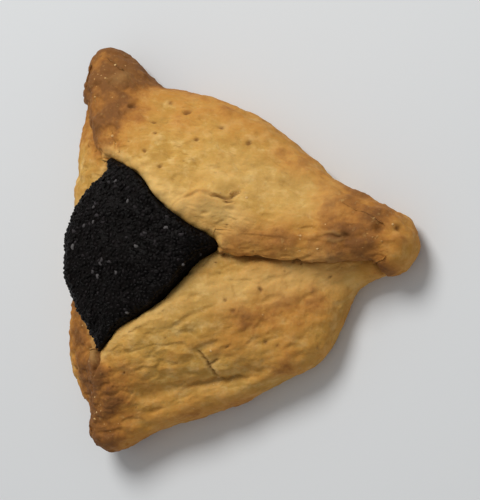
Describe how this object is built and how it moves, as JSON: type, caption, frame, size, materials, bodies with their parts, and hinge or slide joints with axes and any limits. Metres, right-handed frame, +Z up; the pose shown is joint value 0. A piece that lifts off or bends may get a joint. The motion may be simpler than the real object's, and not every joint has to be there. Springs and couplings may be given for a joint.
{
  "type": "hamantasch",
  "caption": "Triangular folded biscuit of golden baked dough, open in the middle over a dark poppy-seed filling, resting on its flat base.",
  "frame": {"origin": "under the middle of the biscuit's box, on the flat underside", "axes": "+Z up off the underside; +X towards the long single arm, the east corner; +Y towards the north-west corner's side, across the opening"},
  "size_m": [0.0679, 0.0748, 0.0213],
  "materials": {
    "baked_dough": "baked biscuit dough, golden, matt, browner at the tips and the lapped edges",
    "poppy_filling": "near-black poppy-seed paste, granular, slightly moist"
  },
  "bodies": {
    "root": {"dough": "baked_dough", "filling": "poppy_filling"}
  },
  "joints": []
}
